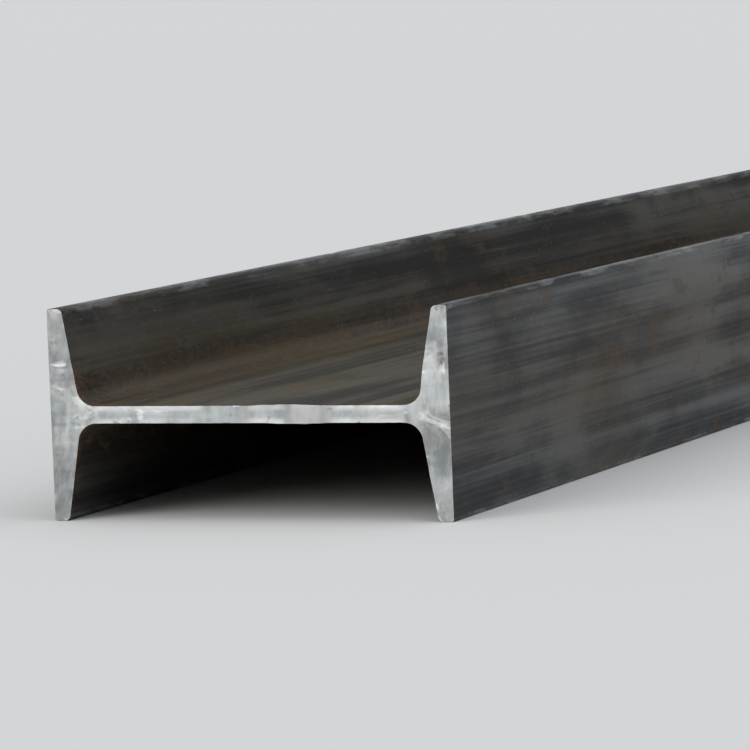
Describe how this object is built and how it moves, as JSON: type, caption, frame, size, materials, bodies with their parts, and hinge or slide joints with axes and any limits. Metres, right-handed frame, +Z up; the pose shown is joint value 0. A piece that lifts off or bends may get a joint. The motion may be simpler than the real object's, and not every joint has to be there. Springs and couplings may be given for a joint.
{
  "type": "steel i-beam",
  "caption": "Hot-rolled steel I-beam with tapered flanges, in a plain saw-cut stock length, lying on its flange tips with the web level.",
  "frame": {"origin": "on the floor, under the middle of the web and halfway along the beam", "axes": "+X across the depth, from one flange to the other; +Y along the beam; +Z up, square to the web"},
  "size_m": [0.2, 6, 0.1],
  "materials": {
    "rolled_steel": "dark mill scale with lengthwise streaks and a film of brown rust towards the roots, bright satin where the ends are sawn"
  },
  "bodies": {
    "root": {"i_beam": "rolled_steel"}
  },
  "joints": []
}
